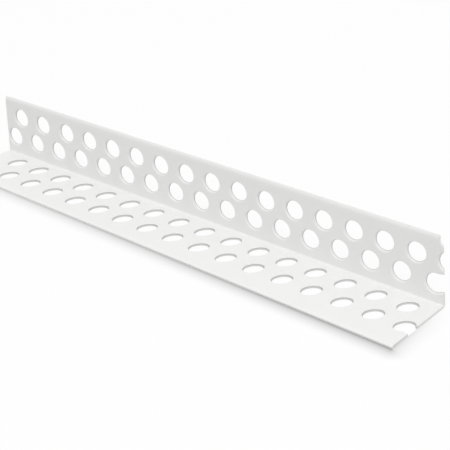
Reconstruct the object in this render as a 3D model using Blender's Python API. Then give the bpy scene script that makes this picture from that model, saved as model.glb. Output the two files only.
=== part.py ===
"""Perforated corner bead for drywall: an extruded PVC angle with punched holes.

The leg stands up along +Z and the wider flange lies towards -Y. The length runs along X.
The leg's holes are round and the flange's are slanted ovals.
The far end (-X) is cut square. The near end (+X) is a rough cut that opened several holes.
Leg and flange are a little narrower at the far end, and widths are given for the near end.
The origin is the middle of the bead's box on its underside. Lengths are in metres.
"""

import math

import bmesh
import bpy
from mathutils import Matrix, Vector

MM = 0.001

# Stock
LENGTH = 167.0 * MM
WALL = 0.75 * MM
LEG_HEIGHT = 20.8 * MM
LEG_NARROWING = 0.8 * MM
FLANGE_WIDTH = 26.0 * MM
FLANGE_NARROWING = 4.2 * MM
FOLD_OUTER_RADIUS = 1.0 * MM
FOLD_INNER_RADIUS = 0.25 * MM
FREE_EDGE_RADIUS = 0.45 * MM
SMALL_EDGE_RADIUS = 0.15 * MM

# Punched holes: row heights and distances are measured from the bead's outer faces
PITCH = 10.0 * MM
LEG_HOLE_DIAMETER = 6.0 * MM
FLANGE_HOLE_LENGTH = 6.5 * MM
FLANGE_HOLE_WIDTH = 4.8 * MM
FLANGE_HOLE_SLANT = math.radians(26)
LEG_LOWER_ROW = 6.5 * MM
LEG_UPPER_ROW = 13.8 * MM
FLANGE_INNER_ROW = 6.8 * MM
FLANGE_OUTER_ROW = 15.6 * MM
FLANGE_INNER_DRIFT = 0.4 * MM
FLANGE_OUTER_DRIFT = 1.0 * MM

# First hole centre of each row, measured from the far end
LEG_UPPER_START = 7.7 * MM
LEG_LOWER_START = 3.4 * MM
FLANGE_INNER_START = 9.7 * MM
FLANGE_OUTER_START = 4.6 * MM
SHALLOWEST_NOTCH = 1.0 * MM

# Strokes of the punch that fell out of step
EARLY_STROKES = 2
EARLY_STROKE_SHIFT = -0.8 * MM
LAST_UPPER_SHIFT = -0.3 * MM
LAST_LOWER_SHIFT = 0.5 * MM
LAST_OUTER_SHIFT = -0.4 * MM

# Mouths that broke open between a last hole and the near end
THINNEST_BRIDGE = 1.0 * MM
LEG_MOUTH_WIDTH = 5.4 * MM
FLANGE_MOUTH_WIDTH = 4.5 * MM
MOUTH_FLARE = 0.15 * MM
MOUTH_SHIFT = 0.6 * MM

# Rough cut at the near end of the leg
END_LEAN = 1.9 * MM
TOP_CORNER_DROP = 3.4 * MM
TOP_CORNER_RISE = 2.2 * MM
TOP_CORNER_SETBACK = 1.0 * MM
TOP_CORNER_RADIUS = 0.5 * MM

# Facets
FOLD_STEPS = 5
EDGE_STEPS = 3
HOLE_SEGMENTS = 20
CORNER_STEPS = 5
CUTTER_MARGIN = 2.0 * MM

FAR_END = -LENGTH / 2
NEAR_END = LENGTH / 2
BACK_FACE = FLANGE_WIDTH / 2
FRONT_FACE = BACK_FACE - WALL


def clear_scene():
    """Remove what the scene already holds."""
    for old in list(bpy.data.objects):
        bpy.data.objects.remove(old, do_unlink=True)


def arc(centre_across, centre_up, radius, start_degrees, end_degrees, steps):
    """Points of a round corner in an upright plane, both ends included."""
    points = []
    for step in range(steps + 1):
        angle = math.radians(start_degrees + (end_degrees - start_degrees) * step / steps)
        points.append((centre_across + radius * math.cos(angle), centre_up + radius * math.sin(angle)))
    return points


def section(leg_height, flange_width):
    """Outline of the angle, counterclockwise as seen from +X, starting at the flange's free edge."""
    free_edge = BACK_FACE - flange_width
    small = SMALL_EDGE_RADIUS
    nose = FREE_EDGE_RADIUS
    outer = FOLD_OUTER_RADIUS
    inner = FOLD_INNER_RADIUS
    outline = []
    outline += arc(free_edge + small, small, small, 180, 270, EDGE_STEPS)
    outline += arc(BACK_FACE - outer, outer, outer, 270, 360, FOLD_STEPS)
    outline += arc(BACK_FACE - small, leg_height - small, small, 0, 90, EDGE_STEPS)
    outline += arc(FRONT_FACE + nose, leg_height - nose, nose, 90, 180, EDGE_STEPS)
    outline += arc(FRONT_FACE - inner, WALL + inner, inner, 0, -90, EDGE_STEPS)
    outline += arc(free_edge + nose, WALL - nose, nose, 90, 180, EDGE_STEPS)
    return outline


def make_angle():
    """Loft the angle from its narrower far section to its full near section."""
    shape = bmesh.new()
    far_section = section(LEG_HEIGHT - LEG_NARROWING, FLANGE_WIDTH - FLANGE_NARROWING)
    near_section = section(LEG_HEIGHT, FLANGE_WIDTH)
    far_ring = [shape.verts.new((FAR_END, y, z)) for y, z in far_section]
    near_ring = [shape.verts.new((NEAR_END, y, z)) for y, z in near_section]
    for index, far_vertex in enumerate(far_ring):
        following = (index + 1) % len(far_ring)
        shape.faces.new((far_vertex, far_ring[following], near_ring[following], near_ring[index]))
    shape.faces.new(list(reversed(far_ring)))
    shape.faces.new(near_ring)
    bmesh.ops.recalc_face_normals(shape, faces=shape.faces)
    return finish_mesh(shape, "corner_bead")


def finish_mesh(shape, name):
    """Turn a bmesh into a named object in the scene."""
    mesh = bpy.data.meshes.new(name)
    shape.to_mesh(mesh)
    shape.free()
    made = bpy.data.objects.new(name, mesh)
    bpy.context.scene.collection.objects.link(made)
    return made


def flange_hole_reach():
    """How far a slanted hole of the flange reaches along X from its centre."""
    long_part = FLANGE_HOLE_LENGTH * math.sin(FLANGE_HOLE_SLANT)
    short_part = FLANGE_HOLE_WIDTH * math.cos(FLANGE_HOLE_SLANT)
    return math.hypot(long_part, short_part) / 2


def stroke_centres(start, reach, early_shift, last_shift):
    """Hole centres of one row along X, up to the last one that the near end cuts open."""
    centres = []
    last = math.floor((LENGTH - SHALLOWEST_NOTCH + reach - start) / PITCH)
    for stroke in range(last + 1):
        centre = start + stroke * PITCH
        if stroke < EARLY_STROKES:
            centre += early_shift
        if stroke == last:
            centre += last_shift
        centres.append(FAR_END + centre)
    return centres


def leg_rows():
    """Height and hole centres of the leg's two rows."""
    radius = LEG_HOLE_DIAMETER / 2
    upper = stroke_centres(LEG_UPPER_START, radius, EARLY_STROKE_SHIFT, LAST_UPPER_SHIFT)
    lower = stroke_centres(LEG_LOWER_START, radius, 0.0, LAST_LOWER_SHIFT)
    return (LEG_UPPER_ROW, upper), (LEG_LOWER_ROW, lower)


def flange_rows():
    """Distance from the back face, drift towards the fold and hole centres of the flange's two rows."""
    reach = flange_hole_reach()
    inner = stroke_centres(FLANGE_INNER_START, reach, 0.0, 0.0)
    outer = stroke_centres(FLANGE_OUTER_START, reach, 0.0, LAST_OUTER_SHIFT)
    return (FLANGE_INNER_ROW, FLANGE_INNER_DRIFT, inner), (FLANGE_OUTER_ROW, FLANGE_OUTER_DRIFT, outer)


def drifted(distance, drift, x):
    """Distance of a flange row at x: it comes nearer to the fold towards the far end."""
    return distance - drift * (NEAR_END - x) / LENGTH


def add_punch(shape, centre, turn, width, length):
    """Add one round or oval punch that passes through the wall, its length along its own Y."""
    size = Matrix.Diagonal((width / 2, length / 2, 1.0, 1.0))
    bmesh.ops.create_cone(
        shape,
        cap_ends=True,
        segments=HOLE_SEGMENTS,
        radius1=1.0,
        radius2=1.0,
        depth=WALL + 2 * CUTTER_MARGIN,
        matrix=Matrix.Translation(centre) @ turn @ size,
    )


def make_punches():
    """Cutter with the punches of all four rows."""
    shape = bmesh.new()
    leg_middle = BACK_FACE - WALL / 2
    upright = Matrix.Rotation(math.pi / 2, 4, "X")
    slanted = Matrix.Rotation(-FLANGE_HOLE_SLANT, 4, "Z")
    for height, centres in leg_rows():
        for x in centres:
            add_punch(shape, Vector((x, leg_middle, height)), upright, LEG_HOLE_DIAMETER, LEG_HOLE_DIAMETER)
    for distance, drift, centres in flange_rows():
        for x in centres:
            y = BACK_FACE - drifted(distance, drift, x)
            add_punch(shape, Vector((x, y, WALL / 2)), slanted, FLANGE_HOLE_WIDTH, FLANGE_HOLE_LENGTH)
    return finish_cutter(shape, "punches")


def mouth_outline(x, width):
    """Outline of a broken mouth, along X and towards the free edge, measured from the row's line."""
    lip = width / 2
    root = lip + MOUTH_FLARE
    outside = NEAR_END + CUTTER_MARGIN
    return [
        (x, -root),
        (NEAR_END, MOUTH_SHIFT - lip),
        (outside, MOUTH_SHIFT - lip),
        (outside, MOUTH_SHIFT + lip),
        (NEAR_END, MOUTH_SHIFT + lip),
        (x, root),
    ]


def breaks_open(x, reach):
    """Whether the bridge between a hole and the near end was too thin to stay."""
    return x < NEAR_END < x + reach + THINNEST_BRIDGE


def add_prism(shape, corners, along):
    """Add a closed prism that stands on a flat outline."""
    face = shape.faces.new([shape.verts.new(corner) for corner in corners])
    pushed = bmesh.ops.extrude_face_region(shape, geom=[face])
    moved = [item for item in pushed["geom"] if isinstance(item, bmesh.types.BMVert)]
    bmesh.ops.translate(shape, verts=moved, vec=along)


def make_mouths():
    """Cutter for the bridges that broke away at the near end."""
    shape = bmesh.new()
    depth = WALL + 2 * CUTTER_MARGIN
    for height, centres in leg_rows():
        x = centres[-1]
        if breaks_open(x, LEG_HOLE_DIAMETER / 2):
            outline = mouth_outline(x, LEG_MOUTH_WIDTH)
            corners = [(along, FRONT_FACE - CUTTER_MARGIN, height + across) for along, across in outline]
            add_prism(shape, corners, (0, depth, 0))
    for distance, drift, centres in flange_rows():
        x = centres[-1]
        if breaks_open(x, flange_hole_reach()):
            row = BACK_FACE - drifted(distance, drift, x)
            outline = mouth_outline(x, FLANGE_MOUTH_WIDTH)
            corners = [(along, row - across, -CUTTER_MARGIN) for along, across in outline]
            add_prism(shape, corners, (0, 0, depth))
    bmesh.ops.recalc_face_normals(shape, faces=shape.faces)
    return finish_cutter(shape, "mouths")


def rough_end_outline():
    """Outline in X and Z of what the rough cut takes off the leg at the near end."""
    top = LEG_HEIGHT
    lean = END_LEAN / (top - WALL)
    outline = [(NEAR_END + CUTTER_MARGIN, WALL), (NEAR_END, WALL)]
    for step in range(CORNER_STEPS + 1):
        share = step / CORNER_STEPS
        height = top - TOP_CORNER_DROP + TOP_CORNER_RISE * share
        setback = TOP_CORNER_SETBACK * (1 - math.cos(math.pi * share)) / 2
        outline.append((NEAR_END - lean * (height - WALL) - setback, height))
    side = outline[-1][0]
    rounding = TOP_CORNER_RADIUS
    outline += arc(side - rounding, top - rounding, rounding, 0, 90, EDGE_STEPS)
    outline += [(side - rounding, top + CUTTER_MARGIN), (NEAR_END + CUTTER_MARGIN, top + CUTTER_MARGIN)]
    return outline


def make_end_trim():
    """Cutter for the leaning, uneven end of the leg."""
    shape = bmesh.new()
    front = FRONT_FACE - FOLD_INNER_RADIUS
    depth = FOLD_INNER_RADIUS + WALL + CUTTER_MARGIN
    add_prism(shape, [(x, front, z) for x, z in rough_end_outline()], (0, depth, 0))
    bmesh.ops.recalc_face_normals(shape, faces=shape.faces)
    return finish_cutter(shape, "end_trim")


def finish_cutter(shape, name):
    """Make a cutter that shows as wires and doesn't render."""
    cutter = finish_mesh(shape, name)
    cutter.display_type = "WIRE"
    cutter.hide_render = True
    return cutter


def cut(target, cutter):
    """Subtract a cutter from the bead."""
    modifier = target.modifiers.new(cutter.name, "BOOLEAN")
    modifier.operation = "DIFFERENCE"
    modifier.solver = "EXACT"
    modifier.object = cutter


def white_pvc():
    """Rigid white PVC with the soft sheen of an extruded surface."""
    material = bpy.data.materials.new("white_pvc")
    material.use_nodes = True
    shader = material.node_tree.nodes["Principled BSDF"]
    shader.inputs["Base Color"].default_value = (0.82, 0.82, 0.81, 1.0)
    shader.inputs["Roughness"].default_value = 0.42
    shader.inputs["Metallic"].default_value = 0.0
    return material


def main():
    """Build the bead and cut its holes, its broken mouths and its rough end."""
    clear_scene()
    bead = make_angle()
    bead.data.materials.append(white_pvc())
    cut(bead, make_punches())
    cut(bead, make_mouths())
    cut(bead, make_end_trim())


main()
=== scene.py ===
"""White PVC corner bead for drywall, with its fine relief and finish, in a plain studio.

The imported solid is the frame. This file makes the bead again at the same size with rolled hole
rims, rounded free edges and a torn end, and gives it the finish of extruded rigid PVC.
Lengths are in metres. X runs along the bead, the leg stands up along Z and the flange points
to -Y. The far end is at -X and the rough end at +X.
"""

import math

import bmesh
import bpy
from bpy.props import FloatProperty, FloatVectorProperty, IntProperty, PointerProperty
from mathutils import Matrix, Vector


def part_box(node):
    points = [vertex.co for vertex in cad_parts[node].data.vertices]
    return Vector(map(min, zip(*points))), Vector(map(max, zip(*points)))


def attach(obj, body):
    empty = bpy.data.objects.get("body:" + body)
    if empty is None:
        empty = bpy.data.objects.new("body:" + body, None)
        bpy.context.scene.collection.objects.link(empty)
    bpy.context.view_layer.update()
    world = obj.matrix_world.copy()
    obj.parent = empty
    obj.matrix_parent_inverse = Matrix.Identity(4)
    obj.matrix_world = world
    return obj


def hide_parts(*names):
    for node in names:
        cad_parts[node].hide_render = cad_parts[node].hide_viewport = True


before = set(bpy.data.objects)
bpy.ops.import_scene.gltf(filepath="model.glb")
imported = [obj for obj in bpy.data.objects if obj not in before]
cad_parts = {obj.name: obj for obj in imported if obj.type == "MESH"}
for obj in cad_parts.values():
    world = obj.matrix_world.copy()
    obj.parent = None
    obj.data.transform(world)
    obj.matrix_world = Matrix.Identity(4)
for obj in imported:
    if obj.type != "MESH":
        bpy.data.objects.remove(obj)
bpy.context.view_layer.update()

bl_info = {
    "name": "Perforated corner bead",
    "version": (1, 0, 0),
    "blender": (4, 5, 0),
    "location": "View3D > Sidebar > Corner Bead",
    "description": "Makes a punched PVC corner bead and the studio that it lies in",
    "category": "Add Mesh",
}

NODE = "corner_bead"
BODY = "root"
MM = 0.001
LOWEST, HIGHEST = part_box(NODE)

# Every face says in this attribute how it was made
CUT_MARK = "cut_face"
SKIN, TORN, PUNCHED = 0.0, 0.5, 1.0

# Facets of the visible bead
FOLD_STEPS = 8
EASE_STEPS = 10
CORNER_STEPS = 4
TURN_STEPS = 10
RIM_STEPS = 4
HOLE_SEGMENTS = 56
CUT_CELL = 0.25 * MM

# A row ends with the last hole that bites this deep into the bead
SHALLOWEST_NOTCH = 1.0 * MM

# Punches reach past the wall by the margin, and a rolled rim starts just above the face
TOOL_MARGIN = 2.0 * MM
FACE_GAP = 0.02 * MM

# Points nearer than this are one, and edges sharper than the crease stay sharp
BLOCK_WELD = 1e-6
BEAD_WELD = 2e-7
CREASE = math.radians(32)
FLAT_NORMAL = 0.99995

# Middle and width of each softbox
KEY_SOFTBOX = ((0.45, -0.65, 1.6), 1.2)
REAR_SOFTBOX = ((-0.2, 1.0, 1.3), 1.4)
END_SOFTBOX = ((1.2, -0.3, 1.1), 1.0)

# Half the floor's width, and how the painted shade on it fades
FLOOR_HALF = 2.0
SHADE_FALLOFF = 1.5
TOUCHING = 1e-6


def linear(hex_code):
    """Linear colour with full alpha from an sRGB hex code such as F0F0EE."""
    levels = [int(hex_code[place : place + 2], 16) / 255 for place in (0, 2, 4)]
    curve = [level / 12.92 if level <= 0.04045 else ((level + 0.055) / 1.055) ** 2.4 for level in levels]
    return (*curve, 1.0)


def length(name, description, metres):
    """A length that a user can change in the sidebar."""
    return FloatProperty(name=name, description=description, default=metres, precision=5, unit="LENGTH")


def color(name, description, hex_code):
    """A colour that a user can change in the sidebar."""
    return FloatVectorProperty(
        name=name,
        description=description,
        default=linear(hex_code),
        size=4,
        min=0.0,
        max=1.0,
        subtype="COLOR",
    )


def angle(name, description, degrees):
    """An angle that a user can change in the sidebar."""
    turn = math.radians(degrees)
    return FloatProperty(name=name, description=description, default=turn, subtype="ANGLE")


def amount(name, description, default):
    """A plain number, not below 0, that a user can change in the sidebar."""
    return FloatProperty(name=name, description=description, default=default, min=0.0)


def power(name, description, watts):
    """A lamp's power that a user can change in the sidebar."""
    return FloatProperty(name=name, description=description, default=watts, min=0.0, unit="POWER")


class BeadStock(bpy.types.PropertyGroup):
    """Sizes of the extruded angle."""

    full_length: length("Length", "Length of the bead along X", HIGHEST.x - LOWEST.x)
    leg_height: length("Leg height", "Height of the leg at the rough end", 20.8 * MM)
    leg_narrowing: length("Leg narrowing", "How much lower it is at the far end", 0.8 * MM)
    flange_width: length("Flange width", "Width of the flange at the rough end", HIGHEST.y - LOWEST.y)
    flange_narrowing: length("Flange narrowing", "How much narrower it is at the far end", 4.2 * MM)
    wall: length("Wall", "Thickness of the extruded wall", 0.75 * MM)
    fold_outer: length("Outer fold radius", "Radius outside the fold", 1.0 * MM)
    fold_inner: length("Inner fold radius", "Radius inside the fold", 0.25 * MM)
    ease_run: length("Ease run", "How far the flange's free edge is rounded over its face", 1.2 * MM)
    ease_depth: length("Ease depth", "How deep that rounding goes", 0.5 * MM)
    top_run: length("Top run", "How far the bevel of the leg's top runs down its face", 1.7 * MM)
    top_depth: length("Top depth", "How deep that bevel goes", 0.5 * MM)
    back_corner: length("Back corner", "Radius of the outer corner of a free edge", 0.16 * MM)


class BeadPunching(bpy.types.PropertyGroup):
    """Rows of punched holes."""

    pitch: length("Pitch", "Distance from hole to hole along a row", 10.0 * MM)
    leg_hole: length("Leg hole", "Diameter of the leg's holes inside their rolled rims", 5.86 * MM)
    flange_hole_length: length("Flange hole length", "Long way across the flange's oval holes", 6.5 * MM)
    flange_hole_width: length("Flange hole width", "Short way across the flange's oval holes", 4.8 * MM)
    flange_hole_slant: angle("Flange hole slant", "Lean of the ovals' fold side towards +X", 26)
    leg_upper_row: length("Leg upper row", "Height of the leg's upper row", 13.8 * MM)
    leg_lower_row: length("Leg lower row", "Height of the leg's lower row", 6.5 * MM)
    flange_inner_row: length("Flange inner row", "This row's distance from the back face", 6.8 * MM)
    flange_outer_row: length("Flange outer row", "This row's distance from the back face", 15.6 * MM)
    flange_inner_drift: length("Inner drift", "How much nearer to the fold it is at the far end", 0.4 * MM)
    flange_outer_drift: length("Outer drift", "How much nearer to the fold it is at the far end", 1.0 * MM)
    leg_upper_start: length("Leg upper start", "First hole's distance from the far end", 7.7 * MM)
    leg_lower_start: length("Leg lower start", "First hole's distance from the far end", 3.4 * MM)
    flange_inner_start: length("Flange inner start", "First hole's distance from the far end", 9.7 * MM)
    flange_outer_start: length("Flange outer start", "First hole's distance from the far end", 4.6 * MM)
    early_strokes: IntProperty(
        name="Early strokes", description="Strokes out of step at the far end", default=2, min=0
    )
    early_shift: length("Early shift", "Shift of those strokes in the leg's upper row", -0.8 * MM)
    last_upper_shift: length("Last upper shift", "Shift of the last stroke there", -0.3 * MM)
    last_lower_shift: length("Last lower shift", "Shift of the leg's last lower stroke", 0.5 * MM)
    last_outer_shift: length("Last outer shift", "Shift of the flange's last outer stroke", -0.4 * MM)
    leg_rim: length("Leg rim", "Radius rolled over a leg hole's rim as the punch went in", 0.42 * MM)
    flange_rim: length("Flange rim", "Radius rolled over a flange hole's rim", 0.15 * MM)
    lip_depth: length("Lip depth", "Thickness of the lip left where the punch came out", 0.25 * MM)
    leg_lip: length("Leg lip", "How far that lip reaches into a leg hole", 0.08 * MM)
    flange_lip: length("Flange lip", "How far it reaches into a flange hole", 0.2 * MM)
    slip: length("Slip", "How far a leg hole's rim lies off it, down and to the far end", 0.12 * MM)


class BeadCut(bpy.types.PropertyGroup):
    """The rough cut at the near end."""

    lean: length("Lean", "How far the cut leans back over the leg's height", 1.9 * MM)
    drop: length("Drop", "How far below the leg's top the cut turns in", 3.4 * MM)
    rise: length("Rise", "Height over which it turns in", 2.2 * MM)
    setback: length("Setback", "How far it turns in", 1.0 * MM)
    rounding: length("Rounding", "Radius of the leg's worn top corner", 0.5 * MM)
    leg_mouth: length("Leg mouth", "Width at the cut of the leg's broken mouth", 5.4 * MM)
    flange_mouth: length("Flange mouth", "Width at the cut of the flange's broken mouth", 4.5 * MM)
    mouth_flare: length("Mouth flare", "How much wider a mouth is at its hole, on each side", 0.15 * MM)
    mouth_shift: length("Mouth shift", "How far a mouth leads towards the free edge", 0.6 * MM)
    tear: length("Tear", "Height of the torn grain on the cut", 0.06 * MM)
    grain: length("Grain", "Size of the torn grain on the cut", 0.7 * MM)
    seed: IntProperty(name="Seed", description="Seed of the torn grain", default=4)


class BeadFinish(bpy.types.PropertyGroup):
    """Colours of the bead."""

    skin: color("Skin", "Extruded white PVC", "F1F1F0")
    # A darker grey than the skin: painted shade on the walls inside the punched holes
    cut: color("Cut", "The same PVC on the walls of the punched holes", "D0D0CF")


class BeadStudio(bpy.types.PropertyGroup):
    """Camera, floor and light."""

    azimuth: angle("Azimuth", "Camera's direction round the bead, from -Y towards +X", 39.265)
    elevation: angle("Elevation", "How steeply the camera looks down", 27.079)
    roll: angle("Roll", "Camera's turn about its own line of sight", 0.662)
    lens: FloatProperty(
        name="Lens", description="Focal length on a 36 mm sensor", default=105.946, unit="CAMERA"
    )
    stand: FloatVectorProperty(
        name="Stand",
        description="Where the camera stands",
        default=(0.2298, -0.25765, 0.17969),
        size=3,
        subtype="TRANSLATION",
        unit="LENGTH",
    )
    floor: color("Floor", "Seamless white paper, as it lights the bead", "CCCCCC")
    glow: amount("Glow", "White added to the paper for the camera", 0.87)
    kept: amount("Kept", "Share of the paper's own light and shadow", 0.2)
    contact: amount("Contact", "Depth of the shade at the flange's foot", 0.35)
    contact_width: length("Contact width", "How far that shade fades within", 0.6 * MM)
    far_shade: amount("Far shade", "Depth of the wide shade at the far end", 0.2)
    near_shade: amount("Near shade", "Depth of the wide shade at the near end", 0.42)
    end_share: amount("End share", "How much of both shades is left past an end", 0.5)
    shade_width: length("Shade width", "How far the wide shade reaches", 6.0 * MM)
    dome: amount("Dome", "Strength of the white studio round the bead", 0.65)
    key: power("Key", "Large softbox, high up in front", 11.2)
    rear: power("Rear", "Weak softbox high up behind the leg", 1.0)
    end_lamp: power("End", "Softbox high up off the rough end", 2.2)


def add_node(tree, kind, inputs=None, **settings):
    """Add a node with its settings, and fill or link the inputs given by name or number."""
    node = tree.nodes.new(kind)
    for name, value in settings.items():
        setattr(node, name, value)
    for key, given in (inputs or {}).items():
        for value in given if isinstance(given, list) else [given]:
            if isinstance(value, bpy.types.Node):
                value = next(output for output in value.outputs if output.enabled)
            if isinstance(value, bpy.types.NodeSocket):
                tree.links.new(value, node.inputs[key])
            else:
                node.inputs[key].default_value = value
    return node


def new_tree(name, sockets):
    """A geometry tree with named inputs and one geometry output, and the sockets of its inputs."""
    tree = bpy.data.node_groups.new(name, "GeometryNodeTree")
    tree.interface.new_socket("Geometry", in_out="OUTPUT", socket_type="NodeSocketGeometry")
    for label, kind in sockets.items():
        tree.interface.new_socket(label, in_out="INPUT", socket_type="NodeSocket" + kind)
    return tree, add_node(tree, "NodeGroupInput").outputs


def run_tree(shape, tree, values):
    """Run a geometry tree on an object with these input values, and return a plain mesh."""
    modifier = shape.modifiers.new(tree.name, "NODES")
    modifier.node_group = tree
    for item in tree.interface.items_tree:
        if item.item_type == "SOCKET" and item.in_out == "INPUT" and item.name in values:
            modifier[item.identifier] = values[item.name]
    view = bpy.context.evaluated_depsgraph_get()
    made = bpy.data.meshes.new_from_object(shape.evaluated_get(view))
    shape.modifiers.remove(modifier)
    return made


def put_in_scene(shape, name):
    """Turn a bmesh or a mesh into an object of the scene."""
    mesh = shape
    if isinstance(shape, bmesh.types.BMesh):
        mesh = bpy.data.meshes.new(name)
        shape.to_mesh(mesh)
        shape.free()
    mesh.name = name
    made = bpy.data.objects.new(name, mesh)
    bpy.context.scene.collection.objects.link(made)
    return made


def curve_points(centre, radii, start_degrees, end_degrees, steps):
    """Points on part of an ellipse, both ends included."""
    points = []
    for step in range(steps + 1):
        turn = math.radians(start_degrees + (end_degrees - start_degrees) * step / steps)
        points.append((centre[0] + radii[0] * math.cos(turn), centre[1] + radii[1] * math.sin(turn)))
    return points


def section_outline(stock):
    """Outline of the angle in Y and Z, counterclockwise as seen from +X, at its full width."""
    free = LOWEST.y
    back = free + stock.flange_width
    front = back - stock.wall
    top = stock.leg_height
    corner = stock.back_corner
    fold = stock.fold_outer
    inner = stock.fold_inner
    run, depth = stock.ease_run, stock.ease_depth
    outline = []
    outline += curve_points((free + corner, corner), (corner, corner), 180, 270, CORNER_STEPS)
    outline += curve_points((back - fold, fold), (fold, fold), 270, 360, FOLD_STEPS)
    outline += curve_points((back - corner, top - corner), (corner, corner), 0, 90, CORNER_STEPS)
    # The bevel is deepest at the top and runs out flat below
    for step in range(EASE_STEPS + 1):
        share = 1 - step / EASE_STEPS
        outline.append((front + stock.top_depth * share**3, top - stock.top_run * (1 - share)))
    outline += curve_points((front - inner, stock.wall + inner), (inner, inner), 0, -90, CORNER_STEPS)
    outline += curve_points((free + run, stock.wall - depth), (run, depth), 90, 180, EASE_STEPS)
    return outline


def rough_end_line(stock, cut):
    """The rough cut's line in X and Z, from below the bead to above its leg."""
    end = stock.full_length / 2
    top = stock.leg_height
    lean = cut.lean / (top - stock.wall)
    line = [(end, -TOOL_MARGIN), (end, stock.wall)]
    for step in range(TURN_STEPS + 1):
        share = step / TURN_STEPS
        height = top - cut.drop + cut.rise * share
        turned_in = cut.setback * (1 - math.cos(math.pi * share)) / 2
        line.append((end - lean * (height - stock.wall) - turned_in, height))
    side = line[-1][0]
    radius = cut.rounding
    line += curve_points((side - radius, top - radius), (radius, radius), 0, 90, EASE_STEPS)
    line.append((side - radius, top + TOOL_MARGIN))
    return line


def make_line(points, closed, name):
    """A line of edges, drawn flat in local X and Y."""
    shape = bmesh.new()
    corners = [shape.verts.new((x, y, 0.0)) for x, y in points]
    for one, other in zip(corners, corners[1:]):
        shape.edges.new((one, other))
    if closed:
        shape.edges.new((corners[-1], corners[0]))
    return put_in_scene(shape, name)


def tool_steps(roll, lip, stock, punching):
    """How far a punch stands out from its outline, and the height at which it does.

    Heights are over the face that it enters. It leaves a rolled rim there, then a straight wall,
    and a thin lip at the other face.
    """
    lowest = -lip * (1 + FACE_GAP / punching.lip_depth)
    steps = [(roll, TOOL_MARGIN), (roll, FACE_GAP)]
    steps += curve_points((roll, -roll), (roll, roll), 90, 180, RIM_STEPS)[1:]
    steps.append((0.0, punching.lip_depth - stock.wall))
    steps.append((lowest, -stock.wall - FACE_GAP))
    steps.append((lowest, -stock.wall - TOOL_MARGIN))
    return steps


def make_tool(outline, steps, slip, place, name):
    """A closed punch with this convex outline, drawn counterclockwise in its local X and Y.

    The rolled rim keeps the skin of the face, and what lies below it is marked as punched. Where the
    punch slipped, the rim is wider on the low side towards the far end.
    """
    roll = steps[0][0]
    corners = [Vector(corner) for corner in outline]
    sides = [(corners[(i + 1) % len(corners)] - corners[i]).normalized() for i in range(len(corners))]
    outward = [Vector((side.y, -side.x)) for side in sides]
    shape = bmesh.new()
    mark = shape.faces.layers.float.new(CUT_MARK)
    rings = []
    for grown, height in steps:
        ring = []
        for i, corner in enumerate(corners):
            miter = (outward[i - 1] + outward[i]) / (1 + outward[i - 1].dot(outward[i]))
            across = corner + grown * miter - Vector((slip, slip)) * max(grown, 0.0) / roll
            ring.append(shape.verts.new(place @ Vector((across.x, across.y, height))))
        rings.append(ring)
    for level, (upper, lower) in enumerate(zip(rings, rings[1:])):
        for i in range(len(corners)):
            following = (i + 1) % len(corners)
            face = shape.faces.new((upper[i], lower[i], lower[following], upper[following]))
            face[mark] = PUNCHED if level > RIM_STEPS else SKIN
    shape.faces.new(rings[0])
    shape.faces.new(list(reversed(rings[-1])))
    bmesh.ops.recalc_face_normals(shape, faces=shape.faces)
    return put_in_scene(shape, name)


def punch_outline(across_x, across_y, slant):
    """Outline of a round or oval punch, upright before its upper side is slanted towards +X."""
    turns = [2 * math.pi * i / HOLE_SEGMENTS for i in range(HOLE_SEGMENTS)]
    upright = [Vector((across_x / 2 * math.cos(turn), across_y / 2 * math.sin(turn))) for turn in turns]
    return [point @ Matrix.Rotation(slant, 2) for point in upright]


def mouth_outline(centre, width, stock, cut, side):
    """Outline of the mouth that broke open between a last hole and the end.

    X is the bead's own and Y is measured from the row, with the free edge at the given side.
    """
    end = stock.full_length / 2
    lip = width / 2
    root = lip + cut.mouth_flare
    outside = end + TOOL_MARGIN
    near_lip, far_lip = cut.mouth_shift - lip, cut.mouth_shift + lip
    outline = [(centre, -root), (end, near_lip), (outside, near_lip)]
    outline += [(outside, far_lip), (end, far_lip), (centre, root)]
    if side > 0:
        return outline
    return [(x, -across) for x, across in reversed(outline)]


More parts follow.
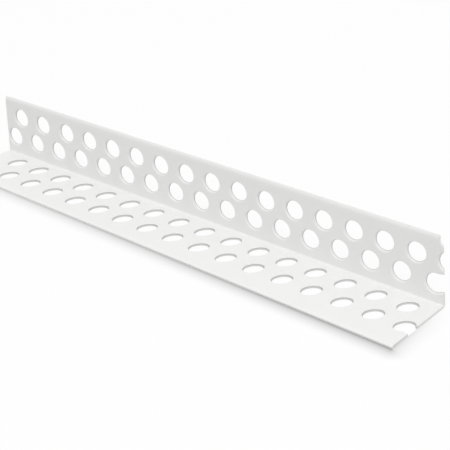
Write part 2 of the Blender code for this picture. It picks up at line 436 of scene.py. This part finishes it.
def sweep_tree():
    """Tree that sweeps the section along the bead and draws both free edges in towards the far end."""
    tree, given = new_tree(
        "extruded_angle",
        {
            "Section": "Geometry",
            "Length": "Float",
            "Leg Narrowing": "Float",
            "Flange Narrowing": "Float",
            "Top Edge": "Float",
            "Free Edge": "Float",
        },
    )
    half = add_node(tree, "ShaderNodeMath", {0: given["Length"], 1: 0.5}, operation="MULTIPLY")
    minus_half = add_node(tree, "ShaderNodeMath", {0: given["Length"], 1: -0.5}, operation="MULTIPLY")
    start = add_node(tree, "ShaderNodeCombineXYZ", {"Z": minus_half})
    end = add_node(tree, "ShaderNodeCombineXYZ", {"Z": half})
    path = add_node(tree, "GeometryNodeCurvePrimitiveLine", {"Start": start, "End": end})
    outline = add_node(tree, "GeometryNodeMeshToCurve", {"Mesh": given["Section"]})
    swept = add_node(
        tree, "GeometryNodeCurveToMesh", {"Curve": path, "Profile Curve": outline, "Fill Caps": True}
    )
    place = add_node(tree, "ShaderNodeSeparateXYZ", {0: add_node(tree, "GeometryNodeInputPosition")})
    along = {"Value": place.outputs["Z"], "From Min": minus_half, "From Max": half}
    free_edge = add_node(
        tree, "FunctionNodeCompare", {0: place.outputs["X"], 1: given["Free Edge"]}, operation="LESS_THAN"
    )
    drawn_in = add_node(tree, "ShaderNodeMapRange", along | {3: given["Flange Narrowing"], 4: 0.0})
    inward = add_node(tree, "ShaderNodeCombineXYZ", {"X": drawn_in})
    flange = add_node(
        tree, "GeometryNodeSetPosition", {"Geometry": swept, "Selection": free_edge, "Offset": inward}
    )
    top_edge = add_node(
        tree, "FunctionNodeCompare", {0: place.outputs["Y"], 1: given["Top Edge"]}, operation="GREATER_THAN"
    )
    rising = add_node(tree, "ShaderNodeMath", {0: given["Leg Narrowing"], 1: -1.0}, operation="MULTIPLY")
    lowered = add_node(tree, "ShaderNodeMapRange", along | {3: rising, 4: 0.0})
    downward = add_node(tree, "ShaderNodeCombineXYZ", {"Y": lowered})
    both = add_node(
        tree, "GeometryNodeSetPosition", {"Geometry": flange, "Selection": top_edge, "Offset": downward}
    )
    laid = add_node(
        tree,
        "GeometryNodeTransform",
        {"Geometry": both, "Rotation": (math.pi / 2, 0.0, math.pi / 2)},
    )
    add_node(tree, "NodeGroupOutput", {0: laid})
    return tree


def row_tree():
    """Tree that sets one punch at every stroke of a row, with the strokes that fell out of step."""
    tree, given = new_tree(
        "punched_row",
        {
            "Punch": "Object",
            "First": "Vector",
            "Turn": "Rotation",
            "Step": "Vector",
            "Strokes": "Int",
            "Early Strokes": "Int",
            "Early Shift": "Float",
            "Last Shift": "Float",
        },
    )
    line = add_node(
        tree,
        "GeometryNodeMeshLine",
        {"Count": given["Strokes"], "Start Location": given["First"], "Offset": given["Step"]},
    )
    index = add_node(tree, "GeometryNodeInputIndex")
    final = add_node(tree, "ShaderNodeMath", {0: given["Strokes"], 1: 1.0}, operation="SUBTRACT")
    is_early = add_node(
        tree, "ShaderNodeMath", {0: index, 1: given["Early Strokes"]}, operation="LESS_THAN"
    )
    is_last = add_node(tree, "ShaderNodeMath", {0: index, 1: final, 2: 0.5}, operation="COMPARE")
    early = add_node(tree, "ShaderNodeMath", {0: is_early, 1: given["Early Shift"]}, operation="MULTIPLY")
    shift = add_node(
        tree, "ShaderNodeMath", {0: is_last, 1: given["Last Shift"], 2: early}, operation="MULTIPLY_ADD"
    )
    offset = add_node(tree, "ShaderNodeCombineXYZ", {"X": shift})
    strokes = add_node(tree, "GeometryNodeSetPosition", {"Geometry": line, "Offset": offset})
    punch = add_node(tree, "GeometryNodeObjectInfo", {"Object": given["Punch"]})
    row = add_node(
        tree,
        "GeometryNodeInstanceOnPoints",
        {"Points": strokes, "Instance": punch.outputs["Geometry"], "Rotation": given["Turn"]},
    )
    add_node(tree, "NodeGroupOutput", {0: add_node(tree, "GeometryNodeRealizeInstances", {0: row})})
    return tree


def cut_tree():
    """Tree that makes the block which the rough cut takes off, with a torn face of fine grain."""
    tree, given = new_tree(
        "rough_cut",
        {
            "Line": "Geometry",
            "Width": "Float",
            "Tear": "Float",
            "Grain": "Float",
            "Seed": "Int",
            "Cell": "Float",
            "Margin": "Float",
        },
    )
    half = add_node(
        tree, "ShaderNodeMath", {0: given["Width"], 1: 0.5, 2: given["Margin"]}, operation="MULTIPLY_ADD"
    )
    minus_half = add_node(tree, "ShaderNodeMath", {0: half, 1: -1.0}, operation="MULTIPLY")
    start = add_node(tree, "ShaderNodeCombineXYZ", {"Z": minus_half})
    end = add_node(tree, "ShaderNodeCombineXYZ", {"Z": half})
    path = add_node(tree, "GeometryNodeCurvePrimitiveLine", {"Start": start, "End": end})
    line = add_node(tree, "GeometryNodeMeshToCurve", {"Mesh": given["Line"]})
    curves = [
        add_node(tree, "GeometryNodeResampleCurve", {"Curve": curve, "Length": given["Cell"]}, mode="LENGTH")
        for curve in (path, line)
    ]
    sheet = add_node(tree, "GeometryNodeCurveToMesh", {"Curve": curves[0], "Profile Curve": curves[1]})
    upright = add_node(
        tree, "GeometryNodeTransform", {"Geometry": sheet, "Rotation": (math.pi / 2, 0.0, 0.0)}
    )
    position = add_node(tree, "GeometryNodeInputPosition")
    fineness = add_node(tree, "ShaderNodeMath", {0: 1.0, 1: given["Grain"]}, operation="DIVIDE")
    grain = add_node(
        tree,
        "ShaderNodeTexNoise",
        {"Vector": position, "W": given["Seed"], "Scale": fineness, "Detail": 2.0},
        noise_dimensions="4D",
    )
    centred = add_node(tree, "ShaderNodeMath", {0: grain.outputs["Fac"], 1: 0.5}, operation="SUBTRACT")
    torn = add_node(tree, "ShaderNodeMath", {0: centred, 1: given["Tear"]}, operation="MULTIPLY")
    offset = add_node(tree, "ShaderNodeCombineXYZ", {"X": torn})
    face = add_node(tree, "GeometryNodeSetPosition", {"Geometry": upright, "Offset": offset})
    depth = add_node(tree, "ShaderNodeMath", {0: given["Margin"], 1: 3.0}, operation="MULTIPLY")
    block = add_node(
        tree,
        "GeometryNodeExtrudeMesh",
        {"Mesh": face, "Offset": (1.0, 0.0, 0.0), "Offset Scale": depth, "Individual": False},
    )
    turned = add_node(tree, "GeometryNodeFlipFaces", {"Mesh": face})
    both = add_node(tree, "GeometryNodeJoinGeometry", {0: [block.outputs["Mesh"], turned]})
    closed = add_node(tree, "GeometryNodeMergeByDistance", {"Geometry": both, "Distance": BLOCK_WELD})
    add_node(tree, "NodeGroupOutput", {0: closed})
    return tree


def bead_tree():
    """Tree of the whole bead: swept angle, less four rows of punches, two mouths and the rough cut."""
    row_names = ("Leg Upper", "Leg Lower", "Flange Inner", "Flange Outer")
    stock_names = ("Length", "Leg Narrowing", "Flange Narrowing", "Top Edge", "Free Edge")
    cut_names = ("Width", "Tear", "Grain", "Cell", "Margin")
    sockets = {"Section": "Geometry"}
    sockets |= {name: "Float" for name in (*stock_names, *cut_names, "Early Shift")}
    sockets |= {"Leg Punch": "Object", "Flange Punch": "Object"}
    sockets |= {"Leg Mouth": "Object", "Flange Mouth": "Object", "Cut Line": "Object"}
    sockets |= {"Early Strokes": "Int", "Seed": "Int", "Material": "Material"}
    for name in row_names:
        sockets |= {name + " First": "Vector", name + " Step": "Vector"}
        sockets |= {name + " Strokes": "Int", name + " Last Shift": "Float"}
    tree, given = new_tree("perforated_bead", sockets)
    stock = add_node(
        tree,
        "GeometryNodeGroup",
        {name: given[name] for name in ("Section", *stock_names)},
        node_tree=sweep_tree(),
    )
    row = row_tree()
    rows = []
    for name in row_names:
        leg = name.startswith("Leg")
        inputs = {"Punch": given["Leg Punch" if leg else "Flange Punch"]}
        inputs["Turn"] = (math.pi / 2 if leg else 0.0, 0.0, 0.0)
        inputs |= {label: given[name + " " + label] for label in ("First", "Step", "Strokes", "Last Shift")}
        if name == "Leg Upper":
            inputs |= {"Early Strokes": given["Early Strokes"], "Early Shift": given["Early Shift"]}
        rows.append(add_node(tree, "GeometryNodeGroup", inputs, node_tree=row))
    punches = add_node(tree, "GeometryNodeJoinGeometry", {0: rows})
    placed = [
        add_node(tree, "GeometryNodeObjectInfo", {"Object": given[name]}).outputs["Geometry"]
        for name in ("Leg Mouth", "Flange Mouth", "Cut Line")
    ]
    mouths = add_node(tree, "GeometryNodeJoinGeometry", {0: placed[:2]})
    rough_cut = add_node(
        tree,
        "GeometryNodeGroup",
        {"Line": placed[2], "Seed": given["Seed"]} | {name: given[name] for name in cut_names},
        node_tree=cut_tree(),
    )
    skin, torn = [
        add_node(
            tree,
            "GeometryNodeStoreNamedAttribute",
            {"Geometry": part, "Name": CUT_MARK, "Value": mark},
            domain="FACE",
        )
        for part, mark in ((stock, SKIN), (rough_cut, TORN))
    ]
    opened = add_node(
        tree,
        "GeometryNodeMeshBoolean",
        {"Mesh 1": skin, "Mesh 2": [punches, mouths, torn]},
        operation="DIFFERENCE",
        solver="EXACT",
    )
    clean = add_node(
        tree, "GeometryNodeMergeByDistance", {"Geometry": opened.outputs["Mesh"], "Distance": BEAD_WELD}
    )
    smooth = add_node(tree, "GeometryNodeSetShadeSmooth", {"Geometry": clean, "Shade Smooth": True})
    # The flat faces of the leg and the flange are the ones that look straight along Y or Z
    direction = add_node(tree, "ShaderNodeSeparateXYZ", {0: add_node(tree, "GeometryNodeInputNormal")})
    size_y = add_node(tree, "ShaderNodeMath", {0: direction.outputs["Y"]}, operation="ABSOLUTE")
    size_z = add_node(tree, "ShaderNodeMath", {0: direction.outputs["Z"]}, operation="ABSOLUTE")
    largest = add_node(tree, "ShaderNodeMath", {0: size_y, 1: size_z}, operation="MAXIMUM")
    plane = add_node(tree, "FunctionNodeCompare", {0: largest, 1: FLAT_NORMAL}, operation="GREATER_THAN")
    flat = add_node(
        tree, "GeometryNodeSetShadeSmooth", {"Geometry": smooth, "Selection": plane, "Shade Smooth": False}
    )
    edge = add_node(tree, "GeometryNodeInputMeshEdgeAngle")
    creased = add_node(
        tree, "FunctionNodeCompare", {0: edge.outputs["Unsigned Angle"], 1: CREASE}, operation="GREATER_THAN"
    )
    sharp = add_node(
        tree,
        "GeometryNodeSetShadeSmooth",
        {"Geometry": flat, "Selection": creased, "Shade Smooth": False},
        domain="EDGE",
    )
    realized = add_node(tree, "GeometryNodeRealizeInstances", {0: sharp})
    finished = add_node(
        tree, "GeometryNodeSetMaterial", {"Geometry": realized, "Material": given["Material"]}
    )
    add_node(tree, "NodeGroupOutput", {0: finished})
    return tree


def extruded_rigid_pvc(finish):
    """Rigid white PVC from an extrusion die: even, faintly streaked along X, with a soft sheen.

    The punched and cut faces are duller, because nothing polished them, and the walls of the punched holes
    carry a painted shade in a darker grey.
    """
    material = bpy.data.materials.new("extruded_rigid_pvc")
    material.use_nodes = True
    tree = material.node_tree
    tree.nodes.clear()
    place = add_node(tree, "ShaderNodeTexCoord").outputs["Object"]
    # Die lines are 0.1 to 0.3 mm apart, so they are drawn 1.1 mm apart and 60 times as long to show
    along = add_node(tree, "ShaderNodeMapping", {"Vector": place, "Scale": (1 / 60, 1.0, 1.0)})
    lines = add_node(tree, "ShaderNodeTexNoise", {"Vector": along, "Scale": 1 / (1.1 * MM), "Detail": 3.0})
    # Filler in the mix leaves faint clouds about 14 mm across
    clouds = add_node(tree, "ShaderNodeTexNoise", {"Vector": place, "Scale": 1 / (14.0 * MM), "Detail": 2.0})
    # Torn grain of a punched or cut face, 0.4 mm
    grain = add_node(tree, "ShaderNodeTexNoise", {"Vector": place, "Scale": 1 / (0.4 * MM), "Detail": 2.0})
    mark = add_node(tree, "ShaderNodeAttribute", attribute_name=CUT_MARK).outputs["Fac"]
    # Most of a noise lies between these two
    spread = {"From Min": 0.3, "From Max": 0.7}
    shade = add_node(
        tree, "ShaderNodeMapRange", spread | {"Value": clouds.outputs["Fac"], 3: 0.985, 4: 1.0}
    )
    # The torn end has none of the punched walls' painted grey shade, but all of their grain
    hole_shade = add_node(tree, "ShaderNodeMapRange", {"Value": mark, "From Min": TORN, "From Max": PUNCHED})
    grained = add_node(tree, "ShaderNodeMapRange", {"Value": mark, "From Min": SKIN, "From Max": TORN})
    base = add_node(
        tree,
        "ShaderNodeMix",
        {"Factor": hole_shade, 6: tuple(finish.skin), 7: tuple(finish.cut)},
        data_type="RGBA",
    )
    tinted = add_node(
        tree,
        "ShaderNodeMix",
        {"Factor": 1.0, 6: base.outputs[2], 7: shade},
        data_type="RGBA",
        blend_type="MULTIPLY",
    )
    sheen = add_node(tree, "ShaderNodeMapRange", spread | {"Value": lines.outputs["Fac"], 3: 0.36, 4: 0.44})
    rough = add_node(tree, "ShaderNodeMath", {0: grained, 1: 0.2, 2: sheen}, operation="MULTIPLY_ADD")
    relief = add_node(
        tree,
        "ShaderNodeMix",
        {"Factor": grained, 2: lines.outputs["Fac"], 3: grain.outputs["Fac"]},
        data_type="FLOAT",
    )
    bump = add_node(tree, "ShaderNodeBump", {"Strength": 0.25, "Distance": 0.02 * MM, "Height": relief})
    shader = add_node(
        tree,
        "ShaderNodeBsdfPrincipled",
        {"Base Color": tinted.outputs[2], "Roughness": rough, "IOR": 1.54, "Normal": bump},
    )
    add_node(tree, "ShaderNodeOutputMaterial", {"Surface": shader})
    return material


def stroke_count(start, reach, bead_length, pitch):
    """Number of strokes in a row whose holes bite into the bead."""
    return math.floor((bead_length - SHALLOWEST_NOTCH + reach - start) / pitch) + 1


def punched_rows(stock, punching):
    """Tree inputs of the four rows of punches, and the place of each row's last stroke."""
    far_end = -stock.full_length / 2
    back = LOWEST.y + stock.flange_width
    slant = punching.flange_hole_slant
    long_part = punching.flange_hole_length * math.sin(slant)
    short_part = punching.flange_hole_width * math.cos(slant)
    reaches = {"Leg": punching.leg_hole / 2, "Flange": math.hypot(long_part, short_part) / 2}
    # Distance from the floor or the back, drift, first stroke and shift of the last stroke
    rows = {
        "Leg Upper": (punching.leg_upper_row, 0.0, punching.leg_upper_start, punching.last_upper_shift),
        "Leg Lower": (punching.leg_lower_row, 0.0, punching.leg_lower_start, punching.last_lower_shift),
        "Flange Inner": (
            punching.flange_inner_row,
            punching.flange_inner_drift,
            punching.flange_inner_start,
            0.0,
        ),
        "Flange Outer": (
            punching.flange_outer_row,
            punching.flange_outer_drift,
            punching.flange_outer_start,
            punching.last_outer_shift,
        ),
    }
    inputs = {}
    last_places = {}
    for name, (row, drift, start, last_shift) in rows.items():
        face = name.split()[0]
        slope = drift / stock.full_length
        first = Vector((far_end + start, back - stock.wall, row))
        if face == "Flange":
            drifted = slope * (stock.full_length - start)
            first = Vector((far_end + start, back - row + drifted, stock.wall))
        step = Vector((punching.pitch, -slope * punching.pitch, 0.0))
        strokes = stroke_count(start, reaches[face], stock.full_length, punching.pitch)
        last_places[name] = first + step * (strokes - 1) + Vector((last_shift, 0.0, 0.0))
        inputs |= {name + " First": tuple(first), name + " Step": tuple(step)}
        inputs |= {name + " Strokes": strokes, name + " Last Shift": last_shift}
    return inputs, last_places


def check_closed(mesh):
    """Raise an error unless the mesh is one closed skin that points outwards."""
    shape = bmesh.new()
    shape.from_mesh(mesh)
    open_edges = sum(not edge.is_manifold for edge in shape.edges)
    volume = shape.calc_volume(signed=True)
    shape.free()
    if open_edges or volume <= 0:
        raise RuntimeError(f"{mesh.name}: {open_edges} open edges, volume {volume:.3e}")


class CORNER_BEAD_OT_make_bead(bpy.types.Operator):
    """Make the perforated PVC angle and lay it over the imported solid"""

    bl_idname = "corner_bead.make_bead"
    bl_label = "Make Bead"

    def execute(self, context):
        scene = context.scene
        stock, punching, cut = scene.bead_stock, scene.bead_punching, scene.bead_cut
        slip = punching.slip
        leg_steps = tool_steps(punching.leg_rim, punching.leg_lip, stock, punching)
        flange_steps = tool_steps(punching.flange_rim, punching.flange_lip, stock, punching)
        section = make_line(section_outline(stock), True, "section")
        cut_line = make_line(rough_end_line(stock, cut), False, "cut_line")
        leg_round = punch_outline(punching.leg_hole, punching.leg_hole, 0.0)
        flange_oval = punch_outline(
            punching.flange_hole_width, punching.flange_hole_length, punching.flange_hole_slant
        )
        leg_punch = make_tool(leg_round, leg_steps, slip, Matrix(), "leg_punch")
        flange_punch = make_tool(flange_oval, flange_steps, 0.0, Matrix(), "flange_punch")
        values = {
            "Length": stock.full_length,
            "Leg Narrowing": stock.leg_narrowing,
            "Flange Narrowing": stock.flange_narrowing,
            "Top Edge": stock.leg_height - 2 * stock.top_run,
            "Free Edge": LOWEST.y + 2 * stock.ease_run,
            "Width": stock.flange_width,
            "Tear": cut.tear,
            "Grain": cut.grain,
            "Seed": cut.seed,
            "Cell": CUT_CELL,
            "Margin": TOOL_MARGIN,
            "Cut Line": cut_line,
            "Leg Punch": leg_punch,
            "Flange Punch": flange_punch,
            "Early Strokes": punching.early_strokes,
            "Early Shift": punching.early_shift,
            "Material": extruded_rigid_pvc(scene.bead_finish),
        }
        row_values, last_places = punched_rows(stock, punching)
        values |= row_values
        leg_last, flange_last = last_places["Leg Lower"], last_places["Flange Outer"]
        upright = Matrix.Rotation(math.pi / 2, 4, "X")
        leg_place = Matrix.Translation((0.0, leg_last.y, leg_last.z)) @ upright
        flange_place = Matrix.Translation((0.0, flange_last.y, flange_last.z))
        leg_outline = mouth_outline(leg_last.x, cut.leg_mouth, stock, cut, 1)
        flange_outline = mouth_outline(flange_last.x, cut.flange_mouth, stock, cut, -1)
        values["Leg Mouth"] = make_tool(leg_outline, leg_steps, slip, leg_place, "leg_mouth")
        values["Flange Mouth"] = make_tool(flange_outline, flange_steps, 0.0, flange_place, "flange_mouth")
        mesh = run_tree(section, bead_tree(), values)
        tools = [value for value in values.values() if isinstance(value, bpy.types.Object)]
        for helper in [section] + tools:
            bpy.data.objects.remove(helper, do_unlink=True)
        check_closed(mesh)
        bead = put_in_scene(mesh, "pvc_corner_bead")
        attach(bead, BODY)
        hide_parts(NODE)
        return {"FINISHED"}


def add_lamp(name, place, size, watts):
    """A square softbox that points at the bead."""
    lamp = bpy.data.lights.new(name, "AREA")
    lamp.size = size
    lamp.energy = watts
    made = bpy.data.objects.new(name, lamp)
    made.location = place
    made.rotation_euler = (-Vector(place)).to_track_quat("-Z", "Y").to_euler()
    bpy.context.scene.collection.objects.link(made)


def white_paper(stock, studio):
    """Seamless paper: matt and white, with a painted soft shade along the flange's front edge and its ends.

    The photograph's shade there is wider than so thin a wall casts, so the paper carries it.
    """
    material = bpy.data.materials.new("seamless_white_paper")
    material.use_nodes = True
    tree = material.node_tree
    tree.nodes.clear()
    point = add_node(tree, "ShaderNodeTexCoord").outputs["Object"]
    place = add_node(tree, "ShaderNodeSeparateXYZ", {0: point})
    x, y = place.outputs["X"], place.outputs["Y"]
    end = stock.full_length / 2
    slope = stock.flange_narrowing / stock.full_length
    edge = add_node(
        tree, "ShaderNodeMath", {0: x, 1: -slope, 2: LOWEST.y + slope * end}, operation="MULTIPLY_ADD"
    )
    in_front = add_node(tree, "ShaderNodeMath", {0: edge, 1: y}, operation="SUBTRACT")
    from_middle = add_node(tree, "ShaderNodeMath", {0: x}, operation="ABSOLUTE")
    past_end = add_node(tree, "ShaderNodeMath", {0: from_middle, 1: end}, operation="SUBTRACT")
    ahead = add_node(tree, "ShaderNodeMath", {0: in_front, 1: 0.0}, operation="MAXIMUM")
    beside = add_node(tree, "ShaderNodeMath", {0: past_end, 1: 0.0}, operation="MAXIMUM")
    offset = add_node(tree, "ShaderNodeCombineXYZ", {"X": ahead, "Y": beside})
    away = add_node(tree, "ShaderNodeVectorMath", {0: offset}, operation="LENGTH").outputs["Value"]
    fade = {"Value": away, "From Max": studio.shade_width, 3: 1.0, 4: 0.0}
    nearness = add_node(tree, "ShaderNodeMapRange", fade)
    falloff = add_node(tree, "ShaderNodeMath", {0: nearness, 1: SHADE_FALLOFF}, operation="POWER")
    along = {"Value": x, "From Min": -end, "From Max": end, 3: studio.far_shade, 4: studio.near_shade}
    depth = add_node(tree, "ShaderNodeMapRange", along)
    # 1 straight in front of the flange and 0 straight past an end
    distance = add_node(tree, "ShaderNodeMath", {0: away, 1: TOUCHING}, operation="MAXIMUM")
    frontal = add_node(tree, "ShaderNodeMath", {0: ahead, 1: distance}, operation="DIVIDE")
    share = add_node(tree, "ShaderNodeMapRange", {"Value": frontal, 3: studio.end_share, 4: 1.0})
    turned = add_node(tree, "ShaderNodeMath", {0: depth, 1: share}, operation="MULTIPLY")
    wide = add_node(tree, "ShaderNodeMath", {0: falloff, 1: turned}, operation="MULTIPLY")
    widths = add_node(
        tree, "ShaderNodeMath", {0: away, 1: -1 / studio.contact_width}, operation="MULTIPLY"
    )
    fading = add_node(tree, "ShaderNodeMath", {0: widths}, operation="EXPONENT")
    foot = add_node(tree, "ShaderNodeMath", {0: fading, 1: share}, operation="MULTIPLY")
    both = add_node(
        tree, "ShaderNodeMath", {0: foot, 1: studio.contact, 2: wide}, operation="MULTIPLY_ADD"
    )
    # The shade fades out towards the fold, and there is none behind the leg or under the holes
    towards_fold = {"Value": y, "From Min": LOWEST.y, "From Max": HIGHEST.y, 3: 1.0, 4: 0.0}
    forward = add_node(tree, "ShaderNodeMapRange", towards_fold)
    outside = add_node(tree, "ShaderNodeMath", {0: away, 1: TOUCHING}, operation="GREATER_THAN")
    masked = add_node(tree, "ShaderNodeMath", {0: forward, 1: outside}, operation="MULTIPLY")
    # Painted shade of the bead's contact shadow, taken off the paper's colour and its glow
    shade = add_node(tree, "ShaderNodeMath", {0: both, 1: masked}, operation="MULTIPLY")
    lit = add_node(tree, "ShaderNodeMath", {0: 1.0, 1: shade}, operation="SUBTRACT")
    tone = add_node(
        tree,
        "ShaderNodeMix",
        {"Factor": 1.0, 6: tuple(studio.floor), 7: lit},
        data_type="RGBA",
        blend_type="MULTIPLY",
    )
    paper = add_node(tree, "ShaderNodeBsdfDiffuse", {"Color": tone.outputs[2]})
    glow = add_node(tree, "ShaderNodeMath", {0: lit, 1: studio.glow}, operation="MULTIPLY")
    white = add_node(tree, "ShaderNodeEmission", {"Strength": glow})
    nothing = add_node(tree, "ShaderNodeEmission", {"Strength": 0.0})
    kept = add_node(tree, "ShaderNodeMixShader", {0: studio.kept, 1: nothing, 2: paper})
    seen = add_node(tree, "ShaderNodeAddShader", {0: kept, 1: white})
    mixed = add_node(tree, "ShaderNodeMixShader", {0: direct_view(tree), 1: paper, 2: seen})
    add_node(tree, "ShaderNodeOutputMaterial", {"Surface": mixed})
    return material


def direct_view(tree):
    """1 where the camera sees a thing directly, in a mirror or through glass, and 0 elsewhere."""
    ray = add_node(tree, "ShaderNodeLightPath").outputs
    seen = add_node(
        tree, "ShaderNodeMath", {0: ray["Is Camera Ray"], 1: ray["Is Glossy Ray"]}, operation="MAXIMUM"
    )
    return add_node(tree, "ShaderNodeMath", {0: seen, 1: ray["Is Transmission Ray"]}, operation="MAXIMUM")


class CORNER_BEAD_OT_make_studio(bpy.types.Operator):
    """Make the camera, the paper floor, the softboxes and the white studio round them"""

    bl_idname = "corner_bead.make_studio"
    bl_label = "Make Studio"

    def execute(self, context):
        scene = context.scene
        studio = scene.bead_studio
        self.make_camera(scene, studio)
        self.make_floor(scene.bead_stock, studio)
        self.make_surroundings(scene, studio)
        add_lamp("key_softbox", *KEY_SOFTBOX, studio.key)
        add_lamp("rear_softbox", *REAR_SOFTBOX, studio.rear)
        add_lamp("end_softbox", *END_SOFTBOX, studio.end_lamp)
        return {"FINISHED"}

    def make_camera(self, scene, studio):
        """Camera at the photograph's viewing angle."""
        azimuth, elevation, roll = studio.azimuth, studio.elevation, studio.roll
        ahead = Vector(
            (
                -math.sin(azimuth) * math.cos(elevation),
                math.cos(azimuth) * math.cos(elevation),
                -math.sin(elevation),
            )
        )
        right = ahead.cross(Vector((0.0, 0.0, 1.0))).normalized()
        down = ahead.cross(right)
        turned_right = right * math.cos(roll) + down * math.sin(roll)
        turned_up = right * math.sin(roll) - down * math.cos(roll)
        turn = Matrix((turned_right, turned_up, -ahead)).transposed()
        view = bpy.data.cameras.new("camera")
        view.lens = studio.lens
        view.sensor_width = 36.0
        view.clip_start = 0.01
        camera = bpy.data.objects.new("camera", view)
        camera.matrix_world = Matrix.Translation(Vector(studio.stand)) @ turn.to_4x4()
        scene.collection.objects.link(camera)
        scene.camera = camera

    def make_floor(self, stock, studio):
        """Plain paper floor under the bead."""
        shape = bmesh.new()
        bmesh.ops.create_grid(shape, x_segments=1, y_segments=1, size=FLOOR_HALF)
        floor = put_in_scene(shape, "floor")
        floor.data.materials.append(white_paper(stock, studio))

    def make_surroundings(self, scene, studio):
        """White studio walls, which look white and light the bead at the dome's strength."""
        world = bpy.data.worlds.new("white_studio")
        world.use_nodes = True
        tree = world.node_tree
        tree.nodes.clear()
        lighting = add_node(
            tree, "ShaderNodeBackground", {"Color": (1.0, 1.0, 1.0, 1.0), "Strength": studio.dome}
        )
        white = add_node(tree, "ShaderNodeBackground", {"Color": (1.0, 1.0, 1.0, 1.0), "Strength": 1.0})
        mixed = add_node(tree, "ShaderNodeMixShader", {0: direct_view(tree), 1: lighting, 2: white})
        add_node(tree, "ShaderNodeOutputWorld", {"Surface": mixed})
        scene.world = world


class CORNER_BEAD_PT_sidebar(bpy.types.Panel):
    """Sizes, colours and makers of the corner bead"""

    bl_label = "Corner Bead"
    bl_idname = "CORNER_BEAD_PT_sidebar"
    bl_space_type = "VIEW_3D"
    bl_region_type = "UI"
    bl_category = "Corner Bead"

    def draw(self, context):
        for operator in OPERATORS:
            self.layout.operator(operator.bl_idname)
        for name in GROUPS:
            box = self.layout.box()
            group = getattr(context.scene, name)
            for prop in group.__annotations__:
                box.prop(group, prop)


GROUPS = {
    "bead_stock": BeadStock,
    "bead_punching": BeadPunching,
    "bead_cut": BeadCut,
    "bead_finish": BeadFinish,
    "bead_studio": BeadStudio,
}
OPERATORS = (CORNER_BEAD_OT_make_bead, CORNER_BEAD_OT_make_studio)


def register():
    """Make the classes and the scene's properties known to Blender."""
    for made in (*GROUPS.values(), *OPERATORS, CORNER_BEAD_PT_sidebar):
        bpy.utils.register_class(made)
    for name, group in GROUPS.items():
        setattr(bpy.types.Scene, name, PointerProperty(type=group))


def unregister():
    """Take them away again."""
    for name in GROUPS:
        delattr(bpy.types.Scene, name)
    for made in reversed((*GROUPS.values(), *OPERATORS, CORNER_BEAD_PT_sidebar)):
        bpy.utils.unregister_class(made)


def main():
    register()
    bpy.context.scene.view_settings.view_transform = "Standard"
    bpy.ops.corner_bead.make_bead()
    bpy.ops.corner_bead.make_studio()


if __name__ == "__main__":
    main()
